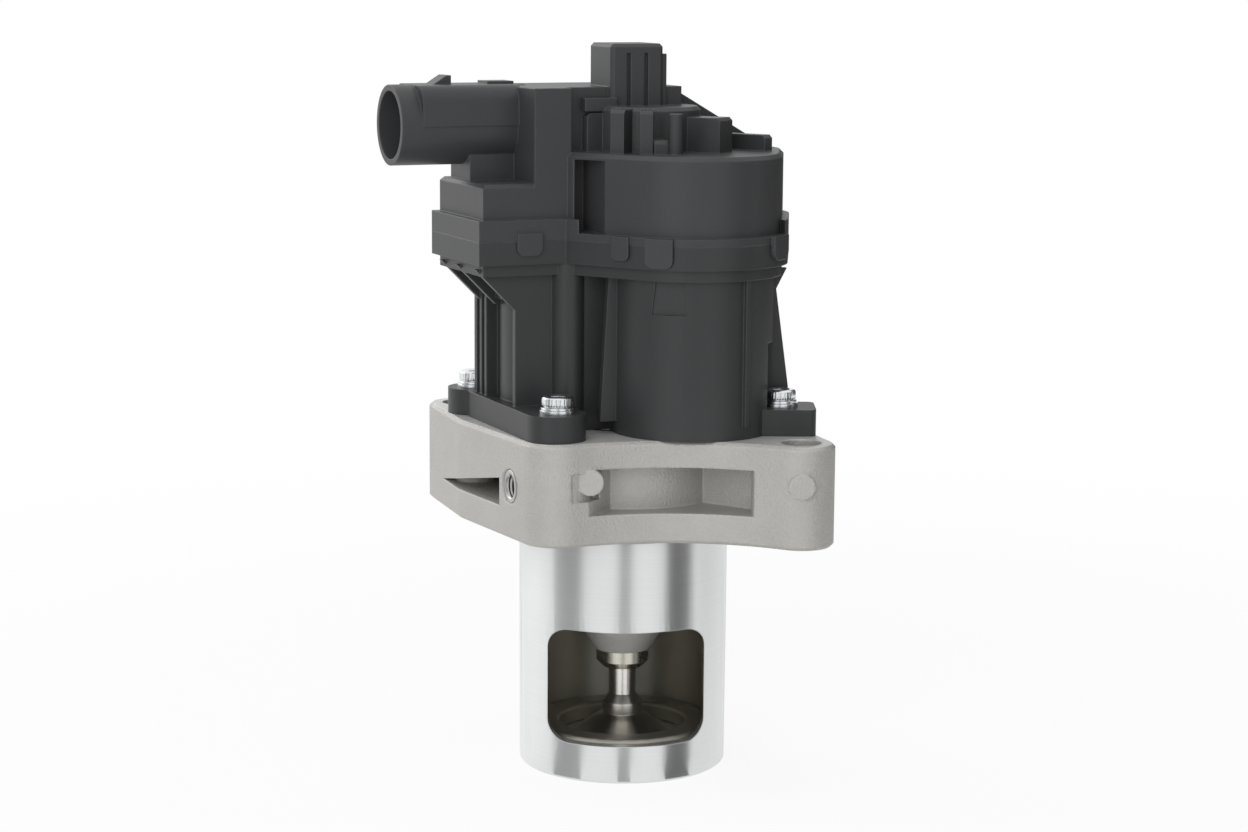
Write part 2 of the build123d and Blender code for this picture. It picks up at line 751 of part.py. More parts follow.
def cam_drum():
    """Drum with two helical slots. A turn of valve_turn moves the cross pin by valve_stroke."""
    body = rod(drum_radius, coarse_low, drum_high)
    body += rod(journal_radius, journal_low, coarse_low)
    body += rod(journal_radius - 0.4, drum_high, stub_high)
    body -= rod(drum_bore, coarse_high + 0.6, drum_high - 1.1)
    body -= rod(rod_radius + 0.3, journal_low - over_cut, coarse_high + over_cut)
    half = cross_pin_radius + 0.12
    middle = (drum_radius + drum_bore) / 2
    lead = valve_stroke * 360 / valve_turn
    path = Helix(pitch=lead, height=valve_stroke, radius=middle)
    across = drum_radius - drum_bore + 2 * over_cut
    section = Plane(origin=path @ 0, x_dir=(1, 0, 0), z_dir=path % 0) * Rectangle(across, 2 * half)
    slot = sweep(section, path=path, is_frenet=True)
    end = Rot(0, 90, 0) * Cylinder(half, across)
    slot += Pos(middle, 0, 0) * end
    slot += Rot(0, 0, valve_turn) * Pos(middle, 0, valve_stroke) * end
    for side in (0, 180):
        body -= Pos(0, 0, pin_height - valve_stroke) * Rot(0, 0, side - valve_turn) * slot
    return body


def lower_bearing():
    """Bush of the drum's journal in the housing."""
    return tube(journal_radius + 1.8, journal_radius + running_clearance, floor_height, fine_high + 0.3)


def upper_bearing():
    """Bush of the drum's stub in the cover."""
    low = drum_high + 0.2
    return tube(journal_radius + 2.5, journal_radius - 0.4 + running_clearance, low, low + top_bearing_height)


def guide_cage():
    """Sleeve with two upright slots that keeps the cross pin from turning."""
    cage = tube(cage_outer, cage_inner, cage_low, cage_high)
    half = roller_radius + 0.06
    low = pin_height - valve_stroke - roller_radius - 0.3
    high = pin_height + roller_radius + 0.3
    slot = block(-cage_outer - 1, cage_outer + 1, -half, half, low, high)
    return cage - slot


def crosshead():
    """Block on the rod's top that holds the cross pin."""
    half = crosshead_height / 2
    head = tube(crosshead_radius, rod_radius, pin_height - half, pin_height + half)
    return head - Pos(0, 0, pin_height) * Rot(0, 90, 0) * Cylinder(cross_pin_radius, 3 * drum_radius)


def cross_pin():
    """Pin through the crosshead, the drum's slots and the cage's slots."""
    pin = Pos(0, 0, pin_height) * Rot(0, 90, 0) * Cylinder(cross_pin_radius, 2 * cage_outer - 0.4)
    return pin - rod(rod_radius + fit_clearance, pin_height - 3, pin_height + 3)


def pin_rollers():
    """Rollers on the pin's two ends, in the cage's slots."""
    wide = cage_outer - cage_inner - 0.3
    ring = Cylinder(roller_radius, wide) - Cylinder(cross_pin_radius + fit_clearance, 2 * wide)
    one = Rot(0, 90, 0) * ring
    middle = (cage_outer + cage_inner) / 2
    return Compound([Pos(side * middle, 0, pin_height) * one for side in (1, -1)])


def position_magnet():
    """Magnet on the drum's end, read by the board above it."""
    return rod(journal_radius - 1.2, stub_high, stub_high + magnet_height)


def sensor_board():
    """Board in the tower above the magnet."""
    half = tower_width / 2 - tower_wall
    low = stub_high + magnet_height + 1.0
    return block(-half, half, -half, half, low, low + 1.6)


def gear_cover():
    """Cover with the left block, round part, crown, upper block, tower and plug socket."""
    rounds = hull_of((motor_place, motor_round), (wheel_place, wheel_round), ((0, 0), output_round))
    body = slab(case_outline(rim_proud), parting_height, parting_height + band_height)
    middle = Rectangle(corner_start + column_right, 4 * block_left)
    middle = Pos((corner_start - column_right) / 2, 0) * middle
    body += slab(case_outline(rim_proud) - middle, parting_height, parting_height + rim_height)
    left = block(-block_left, -column_right - 1, -block_front, block_back, parting_height, left_block_height)
    left = chamfer(left.edges().group_by(Axis.Z)[-1], wall_break)
    body += left
    shell = slab(rounds, parting_height, shoulder_height)
    body += chamfer(shell.edges().group_by(Axis.Z)[-1], shoulder_break)
    body += upper_block(rounds)
    body += crown(rounds)
    body -= notch_room(0, parting_height + band_height, shoulder_height - notch_wall)
    column = block(-column_left, -column_right, -block_front, 0, parting_height, roof_height)
    body += fillet(column.edges().filter_by(Axis.Z).group_by(Axis.Y)[0], wall_break)
    half = tower_width / 2
    tower = block(-half, half, -half, half, crown_height - 2, tower_height)
    tower = chamfer(tower.edges().group_by(Axis.Z)[-1] + tower.edges().filter_by(Axis.Z), tower_break)
    for x in (-half / 3, half / 3):
        tower -= block(x - groove_width / 2, x + groove_width / 2, -half - over_cut, -half + groove_width,
                       crown_height, tower_height - 2)
    body += tower
    body += block(-half - tower_foot, -half + over_cut, -half - over_cut, -half + over_cut,
                  crown_height - over_cut, crown_height + tower_foot_rise)
    body += block(half - over_cut, half + tower_step, -half + over_cut, half,
                  crown_height - 2, tower_height - 2 * tower_step)
    body += plug_shroud()
    body += rim_tab((-tongue_place, -block_front), -90, 2.9, 3.1)
    body += rim_tab(around(motor_place, motor_round, motor_side), motor_side, 2.2, 3.4, 4.6)
    body += rim_tab(around(motor_place, motor_round, -134.4), -134.4, 3.1, 4.6)
    body += rim_tab(around(motor_place, motor_round, -51), -51, 3.4, 3.6)
    return cover_hollows(body)


def upper_block(rounds):
    """Block behind the crown whose roof is level over the wiring room and falls to the right."""
    right = roof_flat + roof_slope
    low = shoulder_height - 2 * wall_break
    foot = left_block_height - 8
    profile = Polyline((-column_left, foot), (roof_flat, foot), (right, low - 8), (right, roof_low),
                       (roof_flat, roof_height), (-column_left, roof_height), close=True)
    deep = block_front + block_back + 1
    whole = Pos(0, -block_front, 0) * extrude(Plane.XZ * make_face(profile), -deep)
    left = Rectangle(2 * column_left, block_front + block_back)
    plan = rounds + Pos(-column_left, (block_back - block_front) / 2) * left
    whole = whole & slab(plan, 0, roof_height + over_cut)
    front = -block_front + notch_depth
    whole -= block(-column_right, right, -block_front - over_cut, front, foot - 2, tower_height)
    return whole - block(roof_flat, right, -block_front, slope_front, foot - 2, tower_height)


def crown(rounds):
    """Raised round over the drum, and the ribs, post and blocks round it."""
    body = rod(crown_radius, shoulder_height - 1, crown_height, crown_place)
    body = chamfer(body.edges().group_by(Axis.Z)[-1], wall_break)
    foot = shoulder_height - 1
    for place, ribs in ((crown_place, crown_ribs), (wheel_place, wheel_ribs)):
        for angle, width, reach, fall in ribs:
            top = crown_height - fall
            body += wedge(place, angle, width, (0, foot), (reach, foot), (reach, top - rib_break),
                          (reach - rib_break, top), (0, top))
    post = around(crown_place, post_reach, post_angle)
    body += rod(post_size, shoulder_height - 1, crown_height - 1, post)
    return body & slab(rounds, 0, tower_height)


def plug_shroud():
    """Round plug socket with a flat-sided upper half, a latch ramp on top and a foot under it."""
    along = socket_mouth - column_left + 4
    barrel = Pos(socket_axis_x, socket_axis_y, socket_axis_z) * Rot(0, 90, 0)
    body = barrel * Cylinder(socket_radius, along, align=(Align.CENTER, Align.CENTER, Align.MIN))
    half = socket_radius + cheek_proud
    cheek = block(socket_axis_x + collar_length, -column_left + over_cut, socket_axis_y - half,
                  socket_axis_y + half, socket_axis_z, socket_axis_z + socket_radius)
    cheek = fillet(cheek.edges().filter_by(Axis.X).group_by(Axis.Z)[-1], cheek_corner)
    body += cheek
    top = socket_axis_z + socket_radius
    ramp = make_face(Polyline((ramp_start, top - 1), (ramp_start, top), (ramp_start + 3.0, top + ramp_height),
                              (ramp_start + 4.0, top + ramp_height), (ramp_start + 4.0, top - 1), close=True))
    body += Pos(0, socket_axis_y, 0) * extrude(Plane.XZ * ramp, ramp_width / 2, both=True)
    body += block(-column_left - latch_length, -column_left + over_cut, socket_axis_y - latch_length * 0.6,
                  socket_axis_y + latch_length * 0.6, top - over_cut, top + latch_rise)
    body += block(-block_left + 1.5, -column_left + 1, socket_axis_y - 6, socket_axis_y + 6,
                  left_block_height - 2, socket_axis_z)
    return body - barrel * Cylinder(socket_radius - socket_wall, 2 * socket_depth)


def rim_tab(place, angle, half_width, drop, aside=0.0):
    """Tongue of the cover that laps over the housing's rim, at a place of the case's outline."""
    reach = rim_proud + tab_proud
    tab = block(0, reach, -half_width, half_width, parting_height - drop, parting_height + band_height)
    tab = fillet(tab.edges().filter_by(Axis.X).group_by(Axis.Z)[0], min(half_width, drop) * 0.6)
    tab = Pos(place[0], place[1], 0) * Rot(0, 0, angle) * Pos(0, -aside, 0) * tab
    return tab - slab(case_outline(rim_proud), 0, parting_height)


def notch_room(grow, low, high):
    """The upright notch between the column and the round part; grown, it takes in the notch's walls."""
    back = -block_front + notch_depth + grow
    return block(-column_right - grow, -notch_right + grow, -2 * motor_round, back, low, high)


def cover_hollows(body):
    """The cover's gear room, wiring room, cage bore, bearing bore and sensor pocket."""
    inner = hull_of((motor_place, motor_round - case_wall), (wheel_place, wheel_round - case_wall),
                    ((0, 0), output_round - case_wall))
    walls = notch_room(notch_wall, parting_height - 2 * over_cut, roof_height)
    body -= slab(inner, parting_height - over_cut, shoulder_height - 2.5) - walls
    body -= block(-block_left + case_wall, -column_left, -block_front + case_wall, block_back - case_wall,
                  parting_height - over_cut, left_block_height - case_wall)
    room = block(-column_left + case_wall, -cage_outer - 2, -block_front + case_wall, block_back - case_wall,
                 parting_height, roof_height - case_wall)
    body -= room - walls
    body -= rod(cage_outer + fit_clearance, shoulder_height - 4, cage_high)
    low = drum_high + 0.2
    body -= rod(drum_radius + 0.5, cage_high - over_cut, low)
    body -= rod(journal_radius + 2.5 + fit_clearance, low - over_cut / 2, low + top_bearing_height)
    body -= rod(journal_radius, low, stub_high + magnet_height + 1.0)
    half = tower_width / 2 - tower_wall
    body -= block(-half, half, -half, half, stub_high + magnet_height + 1.0, tower_height - tower_wall)
    half = blade_width / 2
    for y in blade_places:
        body -= block(-socket_mouth + over_cut, -column_left + case_wall + over_cut, y - half, y + half,
                      socket_axis_z - blade_thickness / 2, socket_axis_z + blade_thickness / 2)
    return body


def connector_terminals():
    """Blades of the plug socket, bent down into the wiring room."""
    blades = []
    bend = -column_left + case_wall + blade_bend
    half = blade_width / 2
    top = socket_axis_z + blade_thickness / 2
    for y in blade_places:
        flat = block(plug_floor - blade_reach, bend, y - half, y + half, top - blade_thickness, top)
        leg = block(bend - blade_thickness, bend, y - half, y + half, parting_height + blade_foot, top)
        blades.append(flat + leg)
    return Compound(blades)


def seal_ring(low):
    """Flat ring along the gear case's wall, up to the joint."""
    return slab(case_outline(-0.5) - case_outline(-1.5), low, parting_height)


def cover_seal():
    """Seal in the joint between housing and cover."""
    return seal_ring(parting_height - seal_height)


nodes = [flange_casting, housing_gasket, valve_sleeve, valve_seat, poppet_valve, stem_bush, deposit_cup,
         stem_seal, return_spring, spring_plate, stem_clip, lower_housing, housing_screws, screw_washers,
         motor_can, motor_magnets, motor_armature, motor_plate, motor_spring, motor_shaft, motor_pinion,
         intermediate_gear, intermediate_axle, output_gear, cam_drum, lower_bearing, upper_bearing,
         guide_cage, crosshead, cross_pin, pin_rollers, position_magnet, sensor_board, gear_cover,
         connector_terminals, cover_seal]

os.makedirs("parts", exist_ok=True)
for node in nodes:
    export_step(node(), f"parts/{node.__name__}.step")
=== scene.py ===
# %% [markdown]
# # An exhaust gas recirculation valve
# The real part is a black plastic actuator on an aluminium flange, with a turned steel sleeve
# below it that goes into the engine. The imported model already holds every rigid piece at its
# true size. This scene gives those pieces their finish. It rounds the sleeve's and the seat's
# edges, and it makes the screws, the wound spring and the port's thread in full detail.

import json
from math import atan2, cos, pi, radians, sin

import bmesh
import bpy
import numpy as np
from mathutils import Matrix, Vector

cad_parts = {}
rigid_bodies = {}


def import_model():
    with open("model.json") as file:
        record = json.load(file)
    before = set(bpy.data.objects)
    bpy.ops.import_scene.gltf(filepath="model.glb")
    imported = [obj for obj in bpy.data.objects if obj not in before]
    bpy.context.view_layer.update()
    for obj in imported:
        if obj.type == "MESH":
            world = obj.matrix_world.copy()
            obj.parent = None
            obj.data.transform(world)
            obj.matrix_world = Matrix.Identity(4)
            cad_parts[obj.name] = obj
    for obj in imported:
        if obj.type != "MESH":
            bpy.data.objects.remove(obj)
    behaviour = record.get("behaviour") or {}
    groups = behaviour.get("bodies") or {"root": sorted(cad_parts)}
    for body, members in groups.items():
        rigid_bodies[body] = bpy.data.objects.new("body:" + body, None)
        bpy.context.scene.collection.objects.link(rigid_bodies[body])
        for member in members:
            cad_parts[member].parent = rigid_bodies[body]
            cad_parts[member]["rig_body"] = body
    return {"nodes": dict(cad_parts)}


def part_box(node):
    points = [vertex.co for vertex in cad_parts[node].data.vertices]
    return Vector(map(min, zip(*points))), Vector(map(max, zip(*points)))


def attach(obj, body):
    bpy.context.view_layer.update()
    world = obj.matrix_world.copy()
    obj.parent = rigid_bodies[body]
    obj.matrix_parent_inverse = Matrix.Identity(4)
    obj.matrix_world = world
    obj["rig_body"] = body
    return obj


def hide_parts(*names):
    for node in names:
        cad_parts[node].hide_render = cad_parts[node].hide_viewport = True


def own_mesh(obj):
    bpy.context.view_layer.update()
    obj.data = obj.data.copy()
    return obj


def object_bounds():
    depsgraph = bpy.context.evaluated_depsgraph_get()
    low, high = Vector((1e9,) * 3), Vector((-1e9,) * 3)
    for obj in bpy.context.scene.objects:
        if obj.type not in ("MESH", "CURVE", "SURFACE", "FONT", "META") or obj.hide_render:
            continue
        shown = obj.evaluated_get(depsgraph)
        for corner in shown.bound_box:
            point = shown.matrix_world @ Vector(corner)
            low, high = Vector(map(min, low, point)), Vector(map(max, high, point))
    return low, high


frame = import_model()
cad_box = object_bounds()

MM = 0.001
print("CAD box, mm:", [[round(v / MM, 1) for v in corner] for corner in cad_box])

# %% [markdown]
# The camera stands where the photographer stood. Its turn, height and distance come from the
# sizes of the flange and the sleeve in the photograph, and it aims at a point on the stem's axis.
# A long lens from about 60 cm keeps the upright edges nearly parallel, as they are there.

# %% Camera
camera_turn = radians(-23.4)
camera_fall = radians(9.2)
camera_roll = radians(0.4)
camera_distance = 616.7 * MM
camera_aim = Vector((0.0, 0.0, 23.2 * MM))
camera_lens = 80.77


def add_camera():
    """Axes of the camera from its turn about Z, its fall and its roll about the line of sight."""
    level = cos(camera_fall)
    ahead = Vector((-sin(camera_turn) * level, cos(camera_turn) * level, -sin(camera_fall)))
    right = Vector((cos(camera_turn), sin(camera_turn), 0.0))
    up = right.cross(ahead)
    tilted_right = right * cos(camera_roll) + up * sin(camera_roll)
    tilted_up = up * cos(camera_roll) - right * sin(camera_roll)
    turn = Matrix((tilted_right, tilted_up, -ahead)).transposed().to_4x4()
    data = bpy.data.cameras.new("photo_camera")
    data.lens = camera_lens
    data.clip_start, data.clip_end = 0.01, 20.0
    camera = bpy.data.objects.new("photo_camera", data)
    camera.matrix_world = Matrix.Translation(camera_aim - ahead * camera_distance) @ turn
    bpy.context.scene.collection.objects.link(camera)
    bpy.context.scene.camera = camera
    return camera


camera = add_camera()
print("camera at, mm:", [round(v / MM) for v in camera.matrix_world.translation])

# %% [markdown]
# A product shot on white has a background that is pure white in the picture but gives little
# light of its own. Light Path tells a ray from the camera, or one that a reflection or a glass
# sends on, from a ray that only carries light. Those rays see white, and the others see grey.

# %% World
world_fill = 0.26
white = (1, 1, 1, 1)


def background_rays(nodes, links, share=None):
    """One, or the share given, for a ray from the camera, a reflection or a glass, else zero."""
    path = nodes.new("ShaderNodeLightPath")
    seen = path.outputs["Is Camera Ray"]
    for label in ("Is Glossy Ray", "Is Transmission Ray"):
        either = nodes.new("ShaderNodeMath")
        either.operation = "MAXIMUM"
        links.new(seen, either.inputs[0])
        links.new(path.outputs[label], either.inputs[1])
        seen = either.outputs[0]
    if share is None:
        return seen
    part = nodes.new("ShaderNodeMath")
    part.operation = "MULTIPLY"
    links.new(seen, part.inputs[0])
    links.new(share, part.inputs[1])
    return part.outputs[0]


def set_world():
    """White for what the camera and reflections see, grey as light."""
    world = bpy.data.worlds.new("studio_world")
    bpy.context.scene.world = world
    world.use_nodes = True
    nodes, links = world.node_tree.nodes, world.node_tree.links
    nodes.clear()
    mix = nodes.new("ShaderNodeMixShader")
    links.new(background_rays(nodes, links), mix.inputs["Fac"])
    for socket, strength in ((mix.inputs[1], world_fill), (mix.inputs[2], 1.0)):
        background = nodes.new("ShaderNodeBackground")
        background.inputs["Color"].default_value = white
        background.inputs["Strength"].default_value = strength
        links.new(background.outputs[0], socket)
    links.new(mix.outputs[0], nodes.new("ShaderNodeOutputWorld").inputs["Surface"])
    return world


world = set_world()
print(world.name, "gives light of", world_fill, "and is seen as white")

# %% [markdown]
# The floor is one wide pale sheet just under the sleeve. Where the camera looks at it, a part of
# it glows white, so that only a trace of the object's soft shadow stays. The glow grows to full
# white away from the middle, where the sheet's far end would else show as a grey horizon.

# %% Floor
floor_gap = 0.05 * MM
floor_half = 3.0
floor_tone, floor_roughness, floor_specular = 0.93, 0.9, 0.1
floor_glow = 0.9
fade_reach = (0.08, 0.45)


def floor_material():
    """Pale paper mixed with white light, by a share that grows away from the middle."""
    material = bpy.data.materials.new("floor_white")
    material.use_nodes = True
    nodes, links = material.node_tree.nodes, material.node_tree.links
    bsdf = nodes["Principled BSDF"]
    bsdf.inputs["Base Color"].default_value = (floor_tone, floor_tone, floor_tone, 1)
    bsdf.inputs["Roughness"].default_value = floor_roughness
    bsdf.inputs["Specular IOR Level"].default_value = floor_specular
    reach = nodes.new("ShaderNodeVectorMath")
    reach.operation = "LENGTH"
    links.new(nodes.new("ShaderNodeTexCoord").outputs["Object"], reach.inputs[0])
    fade = nodes.new("ShaderNodeMapRange")
    fade.interpolation_type = "SMOOTHSTEP"
    limits = (*fade_reach, floor_glow, 1.0)
    for label, value in zip(("From Min", "From Max", "To Min", "To Max"), limits):
        fade.inputs[label].default_value = value
    links.new(reach.outputs["Value"], fade.inputs["Value"])
    glow = nodes.new("ShaderNodeEmission")
    glow.inputs["Color"].default_value = white
    mix = nodes.new("ShaderNodeMixShader")
    links.new(background_rays(nodes, links, fade.outputs["Result"]), mix.inputs["Fac"])
    links.new(bsdf.outputs[0], mix.inputs[1])
    links.new(glow.outputs[0], mix.inputs[2])
    links.new(mix.outputs[0], nodes["Material Output"].inputs["Surface"])
    return material


def add_floor():
    """A square sheet just under the lowest point."""
    z = cad_box[0].z - floor_gap
    half = floor_half
    corners = [(-half, -half, z), (half, -half, z), (half, half, z), (-half, half, z)]
    mesh = bpy.data.meshes.new("floor")
    mesh.from_pydata(corners, [], [(0, 1, 2, 3)])
    mesh.materials.append(floor_material())
    floor = bpy.data.objects.new("floor", mesh)
    bpy.context.scene.collection.objects.link(floor)
    return floor


floor = add_floor()
print(floor.name, "at z", round(floor.data.vertices[0].co.z / MM, 2), "mm")

# %% [markdown]
# The light is broad and soft: from the front, from above and a little from the left, without a
# hard shadow. Large area lamps stand for the soft boxes. Two of them stay out of reflections,
# where they would be white patches on the steel; the third gives the plastic its sheen.

# %% Lamps


def from_camera(angle, distance, height):
    """A place in metres: degrees to the right of the camera's own direction, out and up."""
    towards = camera.matrix_world.translation - camera_aim
    azimuth = atan2(towards.y, towards.x) + radians(angle)
    return Vector((distance * cos(azimuth), distance * sin(azimuth), height))


def add_area_lamp(name, place, size, power, in_reflections=True):
    """A soft box at a place in metres, turned towards the middle of the part."""
    data = bpy.data.lights.new(name, "AREA")
    data.shape = "RECTANGLE"
    data.size, data.size_y = size
    data.energy = power
    lamp = bpy.data.objects.new(name, data)
    lamp.location = place
    lamp.visible_glossy = in_reflections
    lamp.rotation_euler = (camera_aim - lamp.location).to_track_quat("-Z", "Y").to_euler()
    bpy.context.scene.collection.objects.link(lamp)
    return lamp


add_area_lamp("key_front", from_camera(-18, 1.0, 0.35), (0.9, 0.8), 6.5, in_reflections=False)
add_area_lamp("top_soft", Vector((-0.1, 0.0, 0.95)), (0.6, 0.6), 3.5, in_reflections=False)
add_area_lamp("sheen_left", from_camera(-128, 0.8, 0.4), (0.7, 0.4), 1.6)
bpy.context.scene.view_settings.view_transform = "Standard"
print("lamps, W:", {lamp.name: round(lamp.energy, 1) for lamp in bpy.data.lights})

# %% [markdown]
# The meshes of this scene are surfaces worked out as arrays: a grid of points with two
# parameters, whose neighbours make four-sided faces. Round a screw or a wire the grid is closed:
# its last column joins its first.

# %% Grids


def grid_mesh(name, points, closed=False):
    """A mesh of four-sided faces over an array of points with two parameters."""
    rows, columns = points.shape[:2]
    number = np.arange(rows * columns).reshape(rows, columns)
    if closed:
        number = np.hstack([number, number[:, :1]])
    corners = (number[:-1, :-1], number[1:, :-1], number[1:, 1:], number[:-1, 1:])
    faces = np.stack(corners, axis=-1).reshape(-1, 4)
    mesh = bpy.data.meshes.new(name)
    mesh.from_pydata(points.reshape(-1, 3).tolist(), [], faces.tolist())
    return mesh


# %% [markdown]
# Polished metal shows the room. With white all round, the sleeve would be one flat white shape, so
# the studio has grey cards, as a photographer sets them up. Each is a strip of paper that starts
# at the sleeve, lies on the floor and curves up at its far end. Only reflections see the cards:
# they cast no shadow and give no light, and the camera doesn't see them.

# %% Grey cards for the reflections
sleeve_low, sleeve_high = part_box("valve_sleeve")
sleeve_radius = (sleeve_high.x - sleeve_low.x) / 2
card_flat, card_bend, card_rise = 0.25, 0.1, 0.35
card_lift = 0.3 * MM
card_rows, card_columns = 9, 5


def card_points(start, end, hang):
    """Grid of a card between two angles of sight, in degrees. A look along angle a/2 is reflected
    along a, so the edge leaves the sleeve's surface at half its own angle. Along it the card is
    flat, then a quarter of a circle, then upright; a card that hangs keeps what is above that
    height."""
    turn = np.linspace(0, pi / 2, card_columns + 1)[1:]
    flat = np.full(card_columns, card_flat) if hang else np.linspace(0, card_flat, card_columns)
    far = card_flat + card_bend
    out = np.concatenate([flat, card_flat + card_bend * np.sin(turn), [far]])
    up = np.concatenate([np.zeros(card_columns), card_bend * (1 - np.cos(turn)), [card_rise]])
    towards = camera.matrix_world.translation - camera_aim
    middle = atan2(towards.y, towards.x)
    angle = np.radians(np.linspace(start, end, card_rows))[:, None]
    x = sleeve_radius * np.cos(middle + angle / 2) + out * np.cos(middle + angle)
    y = sleeve_radius * np.sin(middle + angle / 2) + out * np.sin(middle + angle)
    z = np.broadcast_to(cad_box[0].z + card_lift + np.maximum(up, hang), x.shape)
    return np.stack([x, y, z], axis=-1)


def add_card(name, start, end, grey, hang=0.0):
    """A grey strip that only reflections see."""
    mesh = grid_mesh(name, card_points(start, end, hang))
    card = bpy.data.objects.new(name, mesh)
    bpy.context.scene.collection.objects.link(card)
    material = bpy.data.materials.new(name)
    material.use_nodes = True
    nodes, links = material.node_tree.nodes, material.node_tree.links
    nodes.remove(nodes["Principled BSDF"])
    shade = nodes.new("ShaderNodeEmission")
    shade.inputs["Color"].default_value = (grey, grey, grey, 1)
    links.new(shade.outputs[0], nodes["Material Output"].inputs["Surface"])
    mesh.materials.append(material)
    for ray in ("camera", "diffuse", "transmission", "volume_scatter", "shadow"):
        setattr(card, "visible_" + ray, False)
    return card


cards = [
    add_card("card_left", -82, -46, 0.40),
    add_card("card_camera", -4, 10, 0.40),
    add_card("card_right", 50, 82, 0.16),
    add_card("card_hung", 92, 168, 0.12, hang=0.05),
]
print("cards:", [card.name for card in cards])

# %% [markdown]
# Several finishes share an effect: the fine speckle of a moulding or a casting, the light line of
# an edge, which is painted highlight with some wear, and the fine rings that a lathe leaves. Each
# effect is a node group with named inputs, built once, so that a material only says how strong and
# how fine it wants it. These helpers make a group and the few nodes that all the effects are made
# of.

# %% Helpers for node groups
grey_socket = ("Color", "NodeSocketColor", (0.5, 0.5, 0.5, 1))


def new_group(name, inputs, outputs):
    """An empty node group from rows of (name, socket type, default); outputs have no default."""
    group = bpy.data.node_groups.new(name, "ShaderNodeTree")
    for label, kind, value in inputs:
        socket = group.interface.new_socket(label, in_out="INPUT", socket_type=kind)
        if value is not None:
            socket.default_value = value
    for label, kind in outputs:
        group.interface.new_socket(label, in_out="OUTPUT", socket_type=kind)
    return group, group.nodes.new("NodeGroupInput"), group.nodes.new("NodeGroupOutput")


def math_node(group, operation, first, second):
    """A Math node whose two inputs are sockets or plain numbers."""
    node = group.nodes.new("ShaderNodeMath")
    node.operation = operation
    for index, value in enumerate((first, second)):
        if isinstance(value, (int, float)):
            node.inputs[index].default_value = value
        else:
            group.links.new(value, node.inputs[index])
    return node.outputs[0]


def noise(group, vector, scale, detail, roughness):
    """A Noise Texture whose scale is a socket or a number."""
    node = group.nodes.new("ShaderNodeTexNoise")
    node.inputs["Detail"].default_value = detail
    node.inputs["Roughness"].default_value = roughness
    group.links.new(vector, node.inputs["Vector"])
    if isinstance(scale, (int, float)):
        node.inputs["Scale"].default_value = scale
    else:
        group.links.new(scale, node.inputs["Scale"])
    return node.outputs["Fac"]


def scaled_colour(group, colour, factor):
    """The colour times a factor."""
    node = group.nodes.new("ShaderNodeVectorMath")
    node.operation = "SCALE"
    group.links.new(colour, node.inputs[0])
    group.links.new(factor, node.inputs["Scale"])
    return node.outputs[0]


def put_out_skin(group, given, out, fine, slow, fine_share):
    """Colour and roughness that swing with a blend of a fine and a slow pattern about its middle,
    one half, and the fine pattern as the height."""
    both = math_node(group, "ADD", math_node(group, "MULTIPLY", fine, fine_share),
                     math_node(group, "MULTIPLY", slow, 1 - fine_share))
    swing = math_node(group, "SUBTRACT", both, 0.5)
    tone = math_node(group, "MULTIPLY", swing, given.outputs["Contrast"])
    tone = math_node(group, "ADD", math_node(group, "MULTIPLY", tone, 2.0), 1.0)
    shift = math_node(group, "MULTIPLY", swing, given.outputs["Spread"])
    rough = math_node(group, "ADD", given.outputs["Roughness"], shift)
    colour = scaled_colour(group, given.outputs["Color"], tone)
    group.links.new(colour, out.inputs["Color"])
    group.links.new(rough, out.inputs["Roughness"])
    group.links.new(fine, out.inputs["Height"])


skin_outputs = [("Color", "NodeSocketColor"), ("Roughness", "NodeSocketFloat"),
                ("Height", "NodeSocketFloat")]
print("every skin puts out", [label for label, kind in skin_outputs])

# %% [markdown]
# Moulded plastic copies the fine spark-eroded texture of its mould, and a casting copies sand or
# spray. Both are small grains on slow, large clouds of a slightly other tone.

# %% Speckle


def build_speckle():
    """Height and tone of a fine-grained skin: small grains on slow, large clouds."""
    group, given, out = new_group(
        "speckle",
        [("Grain Scale", "NodeSocketFloat", 3000.0), ("Cloud Scale", "NodeSocketFloat", 40.0),
         ("Contrast", "NodeSocketFloat", 0.15), grey_socket,
         ("Roughness", "NodeSocketFloat", 0.5), ("Spread", "NodeSocketFloat", 0.1)],
        skin_outputs)
    place = group.nodes.new("ShaderNodeTexCoord").outputs["Object"]
    grain = noise(group, place, given.outputs["Grain Scale"], detail=2.0, roughness=0.6)
    cloud = noise(group, place, given.outputs["Cloud Scale"], detail=4.0, roughness=0.6)
    put_out_skin(group, given, out, grain, cloud, fine_share=0.45)
    return group


speckle = build_speckle()
print(speckle.name, len(speckle.nodes), "nodes")

# %% [markdown]
# A lathe's tool leaves rings that run round the axis. Here they are noise on coordinates that
# are squeezed across the axis, so that the noise changes along Z only, with a slow cloud over it.

# %% Lathe rings
ring_squeeze = (0.004, 0.004, 1.0)
ring_cloud_scale = 45.0


def build_lathe_rings():
    """Height and tone of turning: noise that changes along Z only, with a slow change around."""
    group, given, out = new_group(
        "lathe_rings",
        [("Ring Scale", "NodeSocketFloat", 2500.0), ("Contrast", "NodeSocketFloat", 0.1),
         grey_socket, ("Roughness", "NodeSocketFloat", 0.25),
         ("Spread", "NodeSocketFloat", 0.15)],
        skin_outputs)
    place = group.nodes.new("ShaderNodeTexCoord").outputs["Object"]
    squeeze = group.nodes.new("ShaderNodeVectorMath")
    squeeze.operation = "MULTIPLY"
    squeeze.inputs[1].default_value = ring_squeeze
    group.links.new(place, squeeze.inputs[0])
    rings = noise(group, squeeze.outputs[0], given.outputs["Ring Scale"], detail=3.0, roughness=0.7)
    cloud = noise(group, place, ring_cloud_scale, detail=4.0, roughness=0.6)
    put_out_skin(group, given, out, rings, cloud, fine_share=0.6)
    return group


